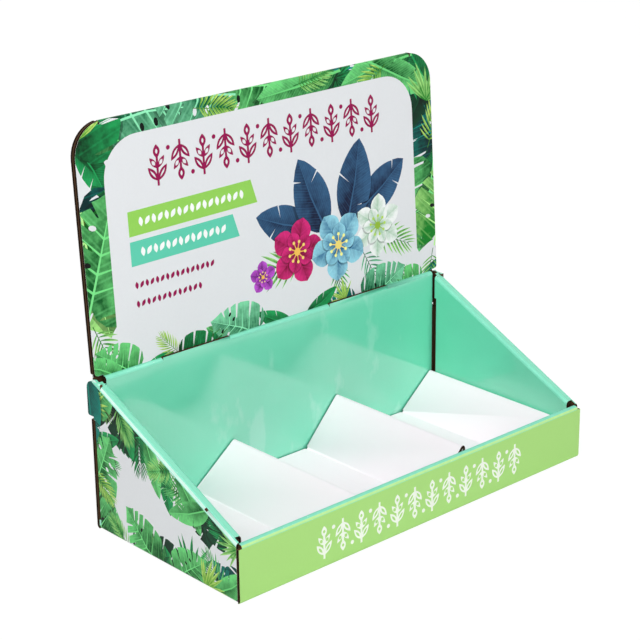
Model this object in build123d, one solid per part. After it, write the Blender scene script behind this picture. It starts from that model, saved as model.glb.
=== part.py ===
from build123d import *

import os
from math import atan, cos, radians, sin, tan

# A small counter display: a tray with a tall header, folded from one die-cut sheet,
# and a loose insert folded into three ramps that hold packs at a slant.
# Millimetres. Origin at the middle of the tray's underside, X along the front,
# Y towards the header, Z up. The plies of a folded wall lie a hair apart, so that
# the sheet is joined only at its folds.

# The board: its thickness, the air between two plies, and the inside of a fold
board = 1.6
ply_gap = 0.2
fold_inside = 0.05

# The tray
tray_width = 220.0
tray_depth = 102.0
front_height = 27.6
front_wall = 3.8
step_height = 74.8
hinge_above_step = 0.6
foot_gap = 0.3
end_gap = 0.4

# The sloping sides, rolled over at the top
strip_behind_front = 0.7
side_short_of_back = 1.2
relief_height = 60.5
relief_depth = 1.2
nick_from_front = 21.3
nick_length = 1.6
nick_depth = 1.0

# The tab at the back of each side, which passes through the back
tab_bottom = 56.0
tab_top = 73.2
tab_reach = 2.4
tab_root = 6.0
tab_radius = 4.0
tab_clearance = 1.5

# The ears inside the walls
front_ear_length = 28.0
rear_ear_length = 25.0
ear_radius = 6.0
ear_clearance = 0.3

# The header, two plies folded over at the top
header_height = 189.4
header_lean = 3.46
header_radius = 15.5
header_narrower = 0.8
header_foot_radius = 1.5
top_fold_short = 14.0
notch_width = 0.9

# The cut and crease line between the header and the inner back wall
crease_bridge = 64.0
crease_cut = 40.0
raw_edge_rise = 0.5

# Lock tabs that hold the inner plies in slots of the floor
lock_width = 24.0
lock_spacing = 110.0
lock_clearance = 0.2
lock_above_underside = 0.2

# The ramp insert
insert_depth = 87.0
insert_back_gap = 0.6
insert_end_gap = 0.6
ramp_feet = (-56.9, 14.6)
ramp_angles = (37.6, 47.4)
ramp_length = 32.4
last_ramp_run = 22.0
last_ramp_angle = 39.9
drop_lean = 8.0
crease_relief = 0.9

# Worked out from the sizes above
middle = board / 2
fold = middle + fold_inside
fold_outside = fold + middle
ply = board + ply_gap
lap = 3 * board
half_width = tray_width / 2
front_face = -tray_depth / 2
back_face = tray_depth / 2
front_end = half_width - ply
side_front = front_face + fold_outside + ply_gap
side_end = back_face - ply
side_wall = 3 * board + 2 * ply_gap
well_half_width = half_width - side_wall
well_front = front_face + front_wall
well_back = back_face - side_wall
inner_front = well_front + strip_behind_front
inner_back = well_back - side_short_of_back
inner_foot = board + foot_gap
inner_half_width = well_half_width - end_gap
hinge_height = step_height + hinge_above_step
tab_notch = tab_bottom - tab_clearance
lean = radians(header_lean)
header_plies = board + ply
header_half_width = half_width - header_narrower
top_fold_height = header_height - fold_outside - (header_plies - fold_outside) * sin(lean)
header_panel = (top_fold_height - hinge_height) / cos(lean) + fold_outside
ear_top = front_height - board - ear_clearance
slope = atan((step_height - front_height) / (side_end - front_face))

# Leaning and sloping planes: the header's back, and the top of a side's strip
header_plane = Plane((0, back_face, hinge_height), x_dir=(1, 0, 0), z_dir=(0, -cos(lean), sin(lean)))
slope_plane = Plane((0, front_face, front_height), x_dir=(1, 0, 0), z_dir=(0, cos(slope), sin(slope)))


def block(x, y, z):
    """A box between two values on each axis."""
    spans = (x, y, z)
    centre = [(low + high) / 2 for low, high in spans]
    return Pos(*centre) * Box(*[high - low for low, high in spans])


def bent_board(plane, points, start, end):
    """Board bent along a middle line on a plane, from one distance off it to another."""
    section = trace(FilletPolyline(*points, radius=fold), line_width=board)
    return extrude(plane.offset(start) * section, amount=end - start)


def panel(plane, outline, start, end):
    """A flat outline on a plane, thickened from one distance off it to another."""
    return extrude(plane.offset(start) * outline, amount=end - start)


def both_sides(shape):
    """A shape of the right-hand side, with its mirror image on the left."""
    return shape + mirror(shape, about=Plane.YZ)


def outside_corner(radius, x, y, right=1, up=1):
    """What rounding a corner takes away, for an arc about x, y."""
    align = (Align.MIN if right > 0 else Align.MAX, Align.MIN if up > 0 else Align.MAX)
    return Pos(x, y) * (Rectangle(radius + board, radius + board, align=align) - Circle(radius))


def header_point(up, out):
    """Y and Z of a point of the header, up from its hinge and out from its back."""
    return (
        back_face + up * sin(lean) - out * cos(lean),
        hinge_height + up * cos(lean) + out * sin(lean),
    )


def spine():
    """Front, floor, back, header, step and inner back wall: one strip bent along the front."""
    rear_ply = middle
    front_ply = header_plies - middle
    points = (
        (well_front - middle, inner_foot),
        (well_front - middle, front_height - middle),
        (front_face + middle, front_height - middle),
        (front_face + middle, middle),
        (back_face - middle, middle),
        header_point(-rear_ply * tan(lean / 2), rear_ply),
        header_point(header_panel - middle, rear_ply),
        header_point(header_panel - middle, front_ply),
        header_point(-front_ply * tan(lean / 2), front_ply),
        (back_face - front_ply, step_height - middle),
        (well_back + middle, step_height - middle),
        (well_back + middle, inner_foot),
    )
    return bent_board(Plane.YZ, points, -half_width, half_width)


def spine_ends():
    """What the die cuts from the right-hand end of the strip."""
    past = half_width + board
    over = front_height + board
    front_strip = block((front_end, past), (front_face - board, well_front + board), (-board, over))
    front_ply = block(
        (front_end, half_width), (front_face, front_face + fold_outside), (0, front_height - fold_outside)
    )
    front_corner = block(
        (front_end - fold_outside, past),
        (well_front - board - fold_inside, well_front + board),
        (board + foot_gap / 2, ear_top),
    )
    floor_edge = block(
        (half_width - lap, past), (side_front, side_end), (-board, board + foot_gap / 2)
    )
    tab_slot = block(
        (front_end, past), (side_end + ply_gap / 2, back_face + board), (tab_notch, hinge_height)
    )
    inner_wall = block(
        (inner_half_width, past),
        (well_back - board, side_end + ply_gap / 2),
        (board + foot_gap / 2, hinge_height),
    )
    return (front_strip - front_ply) + front_corner + floor_edge + tab_slot + inner_wall


def crease_cut_shapes():
    """Where the crease under the header is cut through: what goes, and the raw edge left."""
    span = (crease_bridge / 2, crease_bridge / 2 + crease_cut)
    gone = block(
        span, (well_back - board, back_face - header_plies), (step_height - fold_outside, hinge_height)
    )
    raw_edge = block(
        span, (well_back, well_back + board), (step_height - fold_outside, step_height + raw_edge_rise)
    )
    return gone, raw_edge


def header_end_shapes():
    """Right-hand end of the header: what goes, and the two raw plies beside the top fold."""
    fold_end = header_half_width - top_fold_short
    top = header_panel - fold_outside
    over = header_panel + board
    fold_gone = panel(
        header_plane,
        Pos(fold_end, top) * Rectangle(top_fold_short + board, over - top, align=Align.MIN),
        -board,
        header_plies + board,
    )
    ends = Pos(fold_end, top) * Rectangle(top_fold_short, header_panel - top, align=Align.MIN)
    plies = panel(header_plane, ends, 0, board) + panel(header_plane, ends, ply, header_plies)
    edge = Pos(header_half_width, 0) * Rectangle(board, header_panel, align=Align.MIN)
    corner = outside_corner(header_radius, header_half_width - header_radius, header_panel - header_radius)
    foot_middle = header_half_width - header_foot_radius
    foot = outside_corner(header_foot_radius, foot_middle, header_foot_radius, up=-1)
    notch = Pos(fold_end, top) * Rectangle(notch_width, 2 * fold_outside, align=(Align.CENTER, Align.MIN))
    trimmed = panel(header_plane, edge + corner + foot + notch, -board, header_plies + board)
    return fold_gone, plies, trimmed


def slope_top(y):
    """Height of a side's sloping top above the table."""
    return front_height + (y - front_face) * tan(slope)


def rolled_side():
    """Right-hand side: outer ply, sloping strip and inner ply, bent along the slope."""
    points = (
        (half_width - middle, step_height),
        (half_width - middle, middle),
        (well_half_width + middle, middle),
        (well_half_width + middle, step_height),
    )
    hood = bent_board(slope_plane, points, -front_height, tray_depth + front_height)
    sky = header_height
    outer_ply = block((front_end + ply_gap / 2, half_width), (side_front, side_end), (fold_outside, sky))
    rear_fold = block(
        (front_end, half_width), (side_end - fold_outside, side_end), (inner_foot, tab_notch)
    )
    strip = block(
        (well_half_width + board + ply_gap / 2, front_end + ply_gap / 2),
        (inner_front, well_back + ply_gap),
        (inner_foot, sky),
    )
    inner_span = (well_half_width, well_half_width + board + ply_gap / 2)
    inner_ply = block(inner_span, (inner_front, inner_back), (inner_foot, sky))
    relief = block(inner_span, (inner_back - relief_depth, inner_back), (inner_foot, relief_height))
    nick_side = board + nick_depth
    nick_along = nick_from_front / cos(slope)
    nick = panel(
        slope_plane,
        Pos(half_width - nick_depth, -board) * Rectangle(nick_side, nick_side, align=Align.MIN),
        nick_along - nick_length / 2,
        nick_along + nick_length / 2,
    )
    return (hood & (outer_ply - rear_fold + strip + (inner_ply - relief))) - nick


def side_foot():
    """The fold between the right-hand side and the floor."""
    points = ((half_width - lap, middle), (half_width - middle, middle), (half_width - middle, lap))
    return bent_board(Plane.XZ, points, -side_end, -side_front)


def side_tab():
    """The free tab at the back of the right-hand side's outer ply."""
    length = tab_root + ply + tab_reach
    shape = Pos(side_end - tab_root, tab_bottom) * Rectangle(length, tab_top - tab_bottom, align=Align.MIN)
    free_corners = shape.vertices().group_by(Axis.X)[-1].sort_by(Axis.Y)
    shape = fillet(free_corners[-1], tab_radius)
    free_corners = shape.vertices().group_by(Axis.X)[-1].sort_by(Axis.Y)
    shape = fillet(free_corners[0], tab_radius / 4)
    return panel(Plane.YZ, shape, half_width - board, half_width)


def front_ear():
    """The ear that the front's inner ply sends back inside the right-hand side."""
    ear_middle = front_end - middle
    inner_middle = well_front - middle
    end = front_face + front_ear_length
    behind_strip = well_front + ear_clearance
    under_slope = (board + ear_clearance) / cos(slope)
    points = ((ear_middle, end), (ear_middle, inner_middle), (ear_middle - lap, inner_middle))
    bend = bent_board(Plane.XY, points, inner_foot, slope_top(end))
    outline = Polygon(
        (front_face, inner_foot),
        (front_face, ear_top),
        (behind_strip, ear_top),
        (behind_strip, slope_top(behind_strip) - under_slope),
        (end, slope_top(end) - under_slope),
        (end, inner_foot),
        align=None,
    )
    outline = fillet(outline.vertices().group_by(Axis.X)[-1], ear_radius)
    return bend & panel(Plane.YZ, outline, ear_middle - 2 * lap, half_width)


def rear_ear():
    """The ear that the right-hand side sends in front of the back."""
    ear_middle = side_end - middle
    end = half_width - rear_ear_length
    points = ((half_width - middle, side_end - lap), (half_width - middle, ear_middle), (end, ear_middle))
    bend = bent_board(Plane.XY, points, inner_foot, tab_notch)
    outline = Pos(end, inner_foot) * Rectangle(rear_ear_length, tab_notch - inner_foot, align=Align.MIN)
    outline = fillet(outline.vertices().group_by(Axis.X)[0], ear_radius)
    return bend & panel(Plane.XZ, outline, -back_face, 0)


def lock_shapes():
    """Lock tabs under the inner plies of the right-hand half, and their slots in the floor."""
    across = (lock_spacing / 2 - lock_width / 2, lock_spacing / 2 + lock_width / 2)
    spans = (
        (across, (well_front - board, well_front)),
        (across, (well_back, well_back + board)),
        ((well_half_width, well_half_width + board), (-lock_width / 2, lock_width / 2)),
    )
    tabs = Part()
    slots = Part()
    for x, y in spans:
        tabs += block(x, y, (lock_above_underside, inner_foot + lap))
        wide_x = (x[0] - lock_clearance, x[1] + lock_clearance)
        wide_y = (y[0] - lock_clearance, y[1] + lock_clearance)
        slots += block(wide_x, wide_y, (-board, board + foot_gap / 2))
    return tabs, slots


def display_tray():
    """The whole sheet, folded."""
    fold_gone, header_plies_beside, header_trim = header_end_shapes()
    crease_gone, raw_edge = crease_cut_shapes()
    tabs, slots = lock_shapes()
    sheet = spine() - both_sides(spine_ends() + fold_gone + crease_gone)
    right = rolled_side() + side_foot() + side_tab() + front_ear() + rear_ear()
    sheet += both_sides(right + header_plies_beside + raw_edge)
    sheet -= both_sides(header_trim + slots)
    return sheet + both_sides(tabs)


def ramp_insert():
    """The loose insert: floor strips, ramps that rise to the right, and steep drops behind them."""
    level = board + middle
    left_end = -well_half_width + insert_end_gap
    right_wall = well_half_width - end_gap - middle
    points = [(left_end, level)]
    creases = []
    for foot, angle in zip(ramp_feet, ramp_angles):
        ridge = (foot + ramp_length * cos(radians(angle)), level + ramp_length * sin(radians(angle)))
        drop_foot = (ridge[0] + (ridge[1] - level) * tan(radians(drop_lean)), level)
        points += [(foot, level), ridge, drop_foot]
        creases += [foot, drop_foot[0]]
    last_foot = right_wall - last_ramp_run
    last_ridge = (right_wall, level + last_ramp_run * tan(radians(last_ramp_angle)))
    points += [(last_foot, level), last_ridge, (right_wall, board)]
    creases.append(last_foot)
    back = well_back - insert_back_gap
    front = back - insert_depth
    insert = bent_board(Plane.XZ, points, -back, -front)
    for crease in creases:
        for end in (back, front):
            insert -= Pos(crease, end, level) * Cylinder(crease_relief, 2 * board)
    return insert


os.makedirs("parts", exist_ok=True)
for name, shape in (("display_tray", display_tray()), ("ramp_insert", ramp_insert())):
    export_step(shape, f"parts/{name}.step")
    box = shape.bounding_box()
    print(name, len(shape.solids()), "solids", round(shape.volume), "mm3", box.min, box.max)
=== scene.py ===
# %% [markdown]
# # A folded counter display, dressed in Blender
# The real thing is one die-cut sheet of fine-fluted board, printed on one side and
# folded into a tray with a tall header, and a second, white sheet folded into three
# ramps that lies loose inside. The CAD model has both sheets with all their folds.
# This lesson gives them what a printer and a die cutter leave behind: ink, gloss,
# paper grain, raw edges that show liners and flutes, and folds where the ink cracks.

from math import atan, cos, pi, prod, radians, sin, tan
from random import Random

import bmesh
import bpy
import numpy as np
from mathutils import Matrix, Vector
from mathutils.geometry import delaunay_2d_cdt


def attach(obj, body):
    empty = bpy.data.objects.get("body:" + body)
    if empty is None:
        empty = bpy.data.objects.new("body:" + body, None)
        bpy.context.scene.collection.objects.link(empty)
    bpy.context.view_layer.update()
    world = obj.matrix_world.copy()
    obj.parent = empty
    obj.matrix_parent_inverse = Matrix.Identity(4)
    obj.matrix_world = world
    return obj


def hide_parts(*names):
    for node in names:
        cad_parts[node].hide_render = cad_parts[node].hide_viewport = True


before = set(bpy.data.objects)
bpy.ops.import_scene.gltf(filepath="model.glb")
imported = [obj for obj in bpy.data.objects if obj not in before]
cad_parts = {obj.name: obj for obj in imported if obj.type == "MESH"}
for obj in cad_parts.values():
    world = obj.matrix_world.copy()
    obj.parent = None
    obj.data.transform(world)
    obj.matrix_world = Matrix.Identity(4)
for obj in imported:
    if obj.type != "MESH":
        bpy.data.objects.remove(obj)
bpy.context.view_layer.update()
mm = 0.001


def placed(name, data):
    """A new object in the scene that shows some data."""
    thing = bpy.data.objects.new(name, data)
    bpy.context.scene.collection.objects.link(thing)
    return thing


# %% [markdown]
# ## Where the camera stands
# The photograph was taken from the front left, looking down a little, with a long lens.
# The camera's place and angles were worked out from the corners of the tray, and the
# lens from how little its parallel edges draw together. There is no depth of field,
# because the whole display is sharp.

# %% Camera
camera_place, camera_lens = (-0.5700, -0.6098, 0.3969), 107.985
heading, dip, roll = radians(42.2477), radians(20.3432), radians(-0.6372)
look = Vector((sin(heading) * cos(dip), cos(heading) * cos(dip), -sin(dip)))
level = Vector((cos(heading), -sin(heading), 0))
upright = level.cross(look)
across = level * cos(roll) + upright * sin(roll)
upwards = upright * cos(roll) - level * sin(roll)
camera_data = bpy.data.cameras.new("camera")
camera_data.lens = camera_lens
camera_data.sensor_width = 36
camera = placed("camera", camera_data)
camera_turn = Matrix((across, upwards, -look)).transposed().to_4x4()
camera.matrix_world = Matrix.Translation(camera_place) @ camera_turn
bpy.context.scene.camera = camera
print("camera looks along", tuple(round(v, 3) for v in look))

# %% [markdown]
# ## Nodes in few words
# A material is a small machine of nodes. These helpers add a node, set its values and
# wire its inputs in one line. What a node gives is wrapped as a value, and a sum on
# values adds the nodes for it, so the recipes further down read as plain arithmetic.

# %% Helpers for materials
def linear(red, green, blue):
    """A colour given as it looks on a screen, 0 to 255, as the shader wants it."""
    shares = [value / 255 for value in (red, green, blue)]
    return (*(v / 12.92 if v <= 0.04045 else ((v + 0.055) / 1.055) ** 2.4 for v in shares), 1.0)


class Value:
    """What a node gives: a number, a vector, a colour or a shape."""

    def __init__(self, socket):
        self.socket = socket
        self.tree = socket.id_data

    def __add__(self, other):
        return reckon("ADD", self, other)

    def __sub__(self, other):
        return reckon("SUBTRACT", self, other)

    def __mul__(self, other):
        return reckon("MULTIPLY", self, other)

    def __truediv__(self, other):
        return reckon("DIVIDE", self, other)

    def __gt__(self, other):
        return reckon("GREATER_THAN", self, other)

    def __abs__(self):
        return reckon("ABSOLUTE", self)


def put(node, name, value):
    """Set or wire one input of a node."""
    if isinstance(value, Value):
        value.tree.links.new(value.socket, node.inputs[name])
    else:
        node.inputs[name].default_value = value


def add(tree, kind, inputs=None, **settings):
    """A new node with its settings and its inputs."""
    node = tree.nodes.new(kind)
    for name, value in settings.items():
        setattr(node, name, value)
    for name, value in (inputs or {}).items():
        put(node, name, value)
    return node


def made(tree, kind, inputs=None, output=0, **settings):
    """What a new node gives."""
    return Value(add(tree, kind, inputs, **settings).outputs[output])


def tree_of(*terms):
    """The tree that a sum on these terms belongs to; at least one of them is a value."""
    return next(term.tree for term in terms if isinstance(term, Value))


def reckon(operation, *terms, clamp=False):
    """One step of arithmetic."""
    settings = {"operation": operation, "use_clamp": clamp}
    return made(tree_of(*terms), "ShaderNodeMath", dict(enumerate(terms)), **settings)


def blend(share, first, second, kind="MIX"):
    """Two colours mixed by a share; each is a value or a colour as it looks on a screen."""
    first, second = (tone if isinstance(tone, Value) else linear(*tone) for tone in (first, second))
    settings = {"data_type": "RGBA", "blend_type": kind}
    return made(tree_of(share, first), "ShaderNodeMix", {0: share, 6: first, 7: second}, 2, **settings)


def parts_of(vector):
    """The three numbers of a vector."""
    return [Value(part) for part in add(vector.tree, "ShaderNodeSeparateXYZ", {0: vector}).outputs]


def cloud(place, scale, detail=3.0, stretch=(1, 1, 1)):
    """Soft noise over a piece, drawn out along an axis where it is stretched."""
    spread = made(place.tree, "ShaderNodeMapping", {"Vector": place, "Scale": stretch})
    return made(place.tree, "ShaderNodeTexNoise", {"Vector": spread, "Scale": scale, "Detail": detail})


def bump(height, strength, distance):
    """A height as the small turn it gives the light on a surface."""
    inputs = {"Height": height, "Strength": strength, "Distance": distance}
    return made(height.tree, "ShaderNodeBump", inputs)


def finish_of(name, roughness, specular, coat=0.0, coat_roughness=0.2, coat_ior=1.8):
    """A new material with its shader's plain values, and the place on the piece as a value."""
    material = bpy.data.materials.new(name)
    material.use_nodes = True
    for key, value in (
        ("Roughness", roughness), ("Specular IOR Level", specular), ("Coat Weight", coat),
        ("Coat IOR", coat_ior), ("Coat Roughness", coat_roughness),
    ):
        put(material.node_tree.nodes["Principled BSDF"], key, value)
    return material, made(material.node_tree, "ShaderNodeTexCoord", output="Object")


def coloured(material, colour, relief):
    """The material with its colour and its relief wired in."""
    for key, value in (("Base Color", colour), ("Normal", relief)):
        put(material.node_tree.nodes["Principled BSDF"], key, value)
    return material


# %% [markdown]
# ## The feel of the board
# Fine-fluted board is never quite flat: the liner dips between the flutes, which shows
# as faint ribs where light glances off it. Under them is the grain of the paper. Both
# are a bump that every printed finish shares. The flutes run up the front, back and
# header, and along the sides, so the ribs follow X on faces that look forward and
# height on faces that look sideways.

# %% Ribs and paper grain
flute_pitch = 3.2


def faces_along(tree, axis):
    """1 where the surface looks along an axis, either way, and 0 elsewhere."""
    return abs(parts_of(made(tree, "ShaderNodeNewGeometry", output="Normal"))[axis]) > 0.7


def board_relief(place, strength=0.25):
    """The height of the liner over the flutes and of its fibres, as a bump."""
    x, _, z = parts_of(place)
    sideways = faces_along(place.tree, 0)
    travel = made(place.tree, "ShaderNodeMix", {0: sideways, 2: x, 3: z}, data_type="FLOAT")
    ribs = reckon("SINE", travel * (2 * pi / (flute_pitch * mm)))
    return bump(ribs * 0.35 + cloud(place, 2600, 4.0) * 0.6, strength, 0.06 * mm)


# %% [markdown]
# ## Mint, the colour inside the tray
# The inside of the tray is one flat mint ink under a gloss varnish. A flat ink still
# varies a little where the paper drinks more of it, so a wide soft noise shifts it
# between two near tones. Pale patches on the walls across the depth are a painted
# reflection of the ramps. The varnish is the shader's coat: it gives the faint
# reflections of the ramps that the photograph shows on that wall.

# %% Mint ink
mint, mint_deep = (114, 224, 187), (99, 213, 174)
# The second pair: a fold tone, paler partly as a painted highlight, and the pale tone of a painted
# reflection.
mint_cracked_highlight, mint_painted_reflection = (142, 230, 202), (200, 244, 230)


def flat_ink(name, light, deep, roughness=0.45, coat=0.9, coat_roughness=0.11, painted_reflection=0):
    """One ink all over, slightly cloudy, under varnish; the last argument paints pale reflection patches on
    walls across the depth.
    """
    material, place = finish_of(name, roughness, 0.4, coat, coat_roughness, coat_ior=2.2)
    share = reckon("ADD", cloud(place, 38, 2.0) * 0.9, cloud(place, 1400, 2.0) * 0.35, clamp=True)
    tone = blend(share, deep, light)
    if painted_reflection:
        # Pale patches on walls across the depth: a painted reflection of the ramps.
        reflection_smudge = reckon("SUBTRACT", cloud(place, 60, 9.0, (1, 1, 0.45)), 0.58, clamp=True) * painted_reflection
        patches = reckon("MINIMUM", reflection_smudge, 0.24) * faces_along(place.tree, 1)
        tone = blend(patches, tone, mint_painted_reflection)
    return coloured(material, tone, board_relief(place))


# Its walls across the depth get pale patches of painted reflection.
mint_ink = flat_ink("mint_ink", mint, mint_deep, painted_reflection=4)
print("mint ink from", mint_deep, "to", mint)

# %% [markdown]
# ## Ink on a fold
# Where printed board is folded, the varnish and ink stretch and break into hairlines,
# and the pale paper shows through. The fold's own faces get a lighter tone of their ink,
# partly for that and partly as a painted highlight where the rounded fold meets the light,
# crossed by short cracks: a noise drawn out along the fold and cut off sharply. The
# outer folds of the sides, which face up, are worn and carry a painted highlight, almost white.

# %% Cracked ink on folds
def cracked_ink_with_highlight(name, light, deep, paper):
    """Ink that has been folded: paler, partly as a painted highlight, with hairlines of bare paper."""
    material, place = finish_of(name, 0.5, specular=0.4, coat=0.15, coat_roughness=0.3)
    cracks = cloud(place, 1700, 6.0, (0.3, 1.5, 1.5)) > 0.69
    tone = blend(cracks, blend(cloud(place, 260), deep, light), paper)
    return coloured(material, tone, board_relief(place, 0.5))


# Paler fold tones: partly folded ink, partly painted highlight; the outer folds are nearly white with it.
mint_fold = cracked_ink_with_highlight("mint_fold", mint_cracked_highlight, (118, 216, 184), (206, 244, 230))
worn_fold_highlight = cracked_ink_with_highlight("worn_fold_highlight", (228, 248, 240), (186, 238, 220), (250, 252, 250))
lime_fold = cracked_ink_with_highlight("lime_fold", (198, 238, 160), (178, 228, 138), (226, 246, 206))

# %% [markdown]
# ## Brown paper
# The unprinted side and the raw edges are brown recycled paper. Its fibres lie mostly
# along the web, so the noise is drawn out, with a few darker flecks. The browns are
# darker than the paper alone, as painted shade, because they show mostly in gaps. The
# cut edge of the liners is a little darker, and the hollow of the flutes is near black:
# painted shade where no light gets between the liners.

# %% Kraft
def kraft_paper(name, light, deep):
    """Brown paper with fibres and flecks."""
    material, place = finish_of(name, 0.85, specular=0.2)
    fibres = cloud(place, 1500, 5.0, (1, 1, 0.2))
    flecks = (cloud(place, 2100, 2.0) > 0.68) * 0.6
    tone = blend(flecks, blend(fibres, deep, light), [value * 0.6 for value in deep])
    return coloured(material, tone, bump(fibres, 0.5, 0.08 * mm))


# Browns darker than the paper alone, partly painted shade for the gaps; the third is painted shade in the
# grooves.
kraft = kraft_paper("kraft", (92, 64, 42), (62, 42, 27))
kraft_edge = kraft_paper("kraft_edge", (98, 66, 40), (58, 38, 24))
kraft_hollow_shade = kraft_paper("kraft_hollow_shade", (26, 15, 9), (14, 8, 5))
white_paper = flat_ink("white_paper", (232, 236, 237), (226, 230, 231), 0.6, 0.05, 0.4)

# %% [markdown]
# ## The sheet, from the CAD's own faces
# The folded sheet is kept exactly as the CAD has it, so this works on a copy of the
# node's mesh. Its loose triangles are merged and the flat ones joined. Then the faces
# sort themselves: walking from face to face over every edge that turns less than 50
# degrees covers the whole printed side in one go, then the whole brown side, and what
# is left are the narrow cut edges between them. Nothing has to be listed by hand.

# %% Sort a board's faces
smooth_turn = radians(50)
paper_skin = 0.045


def merged_copy(node):
    """The node's mesh with its triangles merged and its flat faces joined."""
    board = bmesh.new()
    board.from_mesh(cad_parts[node].data)
    bmesh.ops.remove_doubles(board, verts=board.verts, dist=0.001 * mm)
    bmesh.ops.dissolve_limit(board, angle_limit=radians(0.6), verts=board.verts, edges=board.edges)
    return board


def smooth_regions(board):
    """Faces grouped over every edge that turns less than the smooth limit, largest group first."""
    left = set(board.faces)
    regions = []
    for first in board.faces:
        if first not in left:
            continue
        left.discard(first)
        region = [first]
        for face in region:
            for edge in face.edges:
                if edge.calc_face_angle(0) < smooth_turn:
                    for near in edge.link_faces:
                        if near in left:
                            left.discard(near)
                            region.append(near)
        regions.append(region)
    return sorted(regions, key=lambda faces: -sum(face.calc_area() for face in faces))


def sink_skin(board, depth):
    """Move every face inwards by a hair, so that a film of ink fits inside the CAD's size."""
    moves = {}
    for vert in board.verts:
        normals = np.array([face.normal for face in vert.link_faces])
        move = np.linalg.lstsq(normals, np.full(len(normals), -depth), rcond=0.3)[0]
        moves[vert] = move * min(1, 2 * depth / max(np.linalg.norm(move), depth))
    for vert, move in moves.items():
        vert.co += Vector(move)


# %% [markdown]
# ## Raw edges
# Cut through fine-fluted board and the edge shows two liners with a hollow between
# them. Each strip of cut-edge faces is inset by the liner's thickness, and its middle
# is pushed in. The flutes themselves come next, inside that groove.

# %% Cut the grooves and give each face its finish
liner, groove_depth, narrowest_groove = 0.30, 0.9, 1.2
widest_fold, outer_fold_x, front_fold_y = 0.9, 109, -50.4
on_print, on_fold, on_brown, on_edge, in_groove, on_underside, on_outer_fold, on_front_fold = range(8)


def region_width(region):
    """How wide a strip of faces is: its area over half its outline."""
    inside = set(region)
    rim = [edge for face in region for edge in face.edges if not inside.issuperset(edge.link_faces)]
    outline = sum(edge.calc_length() for edge in rim)
    return 2 * sum(face.calc_area() for face in region) / outline if outline else 0


def is_fold(face):
    """True for a face of a rounded fold, which is narrow and meets its neighbours at a slant."""
    narrow = face.calc_area() / max(edge.calc_length() for edge in face.edges) < widest_fold * mm
    return narrow and any(radians(2) < edge.calc_face_angle(0) < smooth_turn for edge in face.edges)


def fold_finish(face):
    """The outer folds of the sides, which face up, are worn and carry a painted highlight; the fold over
    the front's film is lime.
    """
    middle, normal = face.calc_center_median() / mm, face.normal
    looks_up = normal.z > 0.1
    if looks_up and abs(middle.x) > outer_fold_x and 0.55 < abs(normal.x) < 0.97:
        return on_outer_fold
    return on_front_fold if looks_up and middle.y < front_fold_y and normal.y < -0.5 else on_fold


def finished(name, mesh, materials):
    """A mesh as a piece: its materials, smooth but for its folds, in the scene."""
    for material in materials:
        mesh.materials.append(material)
    mesh.shade_smooth()
    mesh.set_sharp_from_angle(angle=radians(35))
    return placed(name, mesh)


def dressed_board(name, node, finishes):
    """The node's sheet with grooved raw edges, and a finish for each kind of face."""
    board = merged_copy(node)
    printed, brown, *edges = smooth_regions(board)
    for face in brown:
        face.material_index = on_brown
    for face in printed:
        face.material_index = fold_finish(face) if is_fold(face) else on_print
        if face.normal.z < -0.9 and face.calc_center_median().z < 0.5 * mm:
            face.material_index = on_underside
    grooved = [strip for strip in edges if region_width(strip) > narrowest_groove * mm]
    for strip in edges:
        for face in strip:
            face.material_index = on_edge
    sink_skin(board, paper_skin * mm)
    for strip in grooved:
        for width, depth in ((liner, 0), (0.02, -groove_depth)):
            walls = bmesh.ops.inset_region(
                board, faces=strip, thickness=width * mm, depth=depth * mm, use_even_offset=False
            )
        for face in list(strip) + walls["faces"]:
            face.material_index = in_groove
    bmesh.ops.triangulate(board, faces=[face for face in board.faces if len(face.verts) > 4])
    mesh = bpy.data.meshes.new(name)
    board.to_mesh(mesh)
    board.free()
    print(f"{name} has {len(edges)} cut edges, {len(grooved)} of them grooved, {len(mesh.polygons)} faces")
    return finished(name, mesh, finishes)


tray_finishes = (mint_ink, mint_fold, kraft, kraft_edge, kraft_hollow_shade, white_paper, worn_fold_highlight, lime_fold)
tray_board = dressed_board("tray_board", "display_tray", tray_finishes)

# %% Carry the sheet on the model
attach(tray_board, "root")
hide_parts("display_tray")

# %% [markdown]
# ## The white ramps
# The insert is white on both sides and unvarnished, so it is the brightest thing in the
# tray and has no gloss. Its flutes and raw edges are brown like the tray's.

# %% Insert
white_board = flat_ink("white_board", (253, 241, 248), (250, 238, 245), 0.62, 0.0, 0.4)
# The insert's folds: slightly paler, partly as a painted highlight.
white_fold = cracked_ink_with_highlight("white_fold", (253, 241, 248), (247, 237, 244), (255, 247, 250))
ramp_finishes = (white_board, white_fold, white_board, kraft_edge, kraft_hollow_shade, white_board)
ramp_board = dressed_board("ramp_board", "ramp_insert", ramp_finishes)
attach(ramp_board, "root")
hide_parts("ramp_insert")

# %% [markdown]
# ## How the print is made
# The artwork is flat shapes that lie over each other. Dozens of paper-thin meshes would
# flicker and shade each other, so Blender's constrained triangulation cuts all outlines
# of a sheet with each other, and each triangle takes its colour from the topmost shape
# over it. The result is one closed film of ink. It is laid out flat, as it comes off the
# press, with lines where it will be folded, and then wrapped round the board, so leaves
# run over the folds as they do on the real thing.

# %% Shapes of the artwork
film, bend_radius, fold_steps = 0.06, 1.65, 5


class Shape:
    """One flat shape: its outline in mm on the sheet, two tones, and the leaf it runs along."""

    def __init__(self, outline, dark, light=None, spine=None, rib=(0, 0, 0), shade=None):
        outline = np.asarray(outline, float)
        x, y = outline.T
        clockwise = np.sum(x * np.roll(y, -1) - y * np.roll(x, -1)) < 0
        self.outline = outline[::-1] if clockwise else outline
        self.dark, self.light = linear(*dark), linear(*(light or dark))
        self.spine, self.rib, self.shade = spine, rib, shade


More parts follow.
